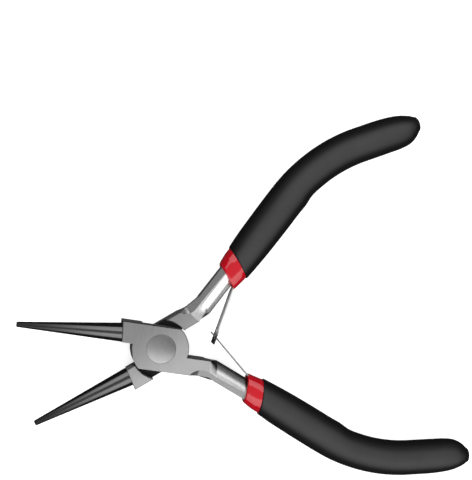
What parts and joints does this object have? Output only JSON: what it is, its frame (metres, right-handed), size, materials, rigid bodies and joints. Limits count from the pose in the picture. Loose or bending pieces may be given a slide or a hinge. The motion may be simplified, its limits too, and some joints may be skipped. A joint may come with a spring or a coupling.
{
  "type": "round nose pliers",
  "caption": "Small round nose pliers for forming wire loops: lap-joint steel levers with tapered round jaws, interlocking leaf return springs and dipped vinyl handles.",
  "frame": {"origin": "on the pivot axis, at the joint's rear face", "axes": "+Z along the pivot axis out of the joint's front face, -X towards the jaws and +X towards the handles along the tool's centre line, Y across the handles"},
  "size_m": [0.1142, 0.0982, 0.0088],
  "materials": {
    "steel": "ground flat faces, polished jaws and tangs",
    "rivet_steel": "satin",
    "spring_steel": "satin strip",
    "red_vinyl": "glossy dip coat",
    "black_vinyl": "satin dip coat"
  },
  "bodies": {
    "front_half": {"front_lever": "steel", "front_inner_sleeve": "red_vinyl", "front_grip": "black_vinyl", "front_leaf_tab": "spring_steel", "front_leaf_rivet": "rivet_steel", "pivot_rivet": "rivet_steel"},
    "rear_half": {"rear_lever": "steel", "rear_inner_sleeve": "red_vinyl", "rear_grip": "black_vinyl", "rear_leaf_tab": "spring_steel", "rear_leaf_rivet": "rivet_steel"},
    "front_leaf": {"front_leaf_blade": "spring_steel"},
    "rear_leaf": {"rear_leaf_blade": "spring_steel"}
  },
  "joints": [
    {"name": "jaw_pivot", "type": "hinge", "parent": "front_half", "child": "rear_half", "pos_m": [0, 0, 0.0028], "axis": [0, 0, -1], "range_deg": [0, 38.5], "stiffness_Nm_per_rad": 0.25},
    {"name": "front_leaf_flex", "type": "hinge", "parent": "front_half", "child": "front_leaf", "pos_m": [0.02122, -0.01128, 0.0028], "axis": [0, 0, 1], "range_deg": [0, 23.2]},
    {"name": "rear_leaf_flex", "type": "hinge", "parent": "rear_half", "child": "rear_leaf", "pos_m": [0.02122, 0.01128, 0.0028], "axis": [0, 0, -1], "range_deg": [0, 23.2]}
  ],
  "couplings": [
    {"joint": "front_leaf_flex", "follows": "jaw_pivot", "ratio": 0.6},
    {"joint": "rear_leaf_flex", "follows": "jaw_pivot", "ratio": 0.6}
  ]
}
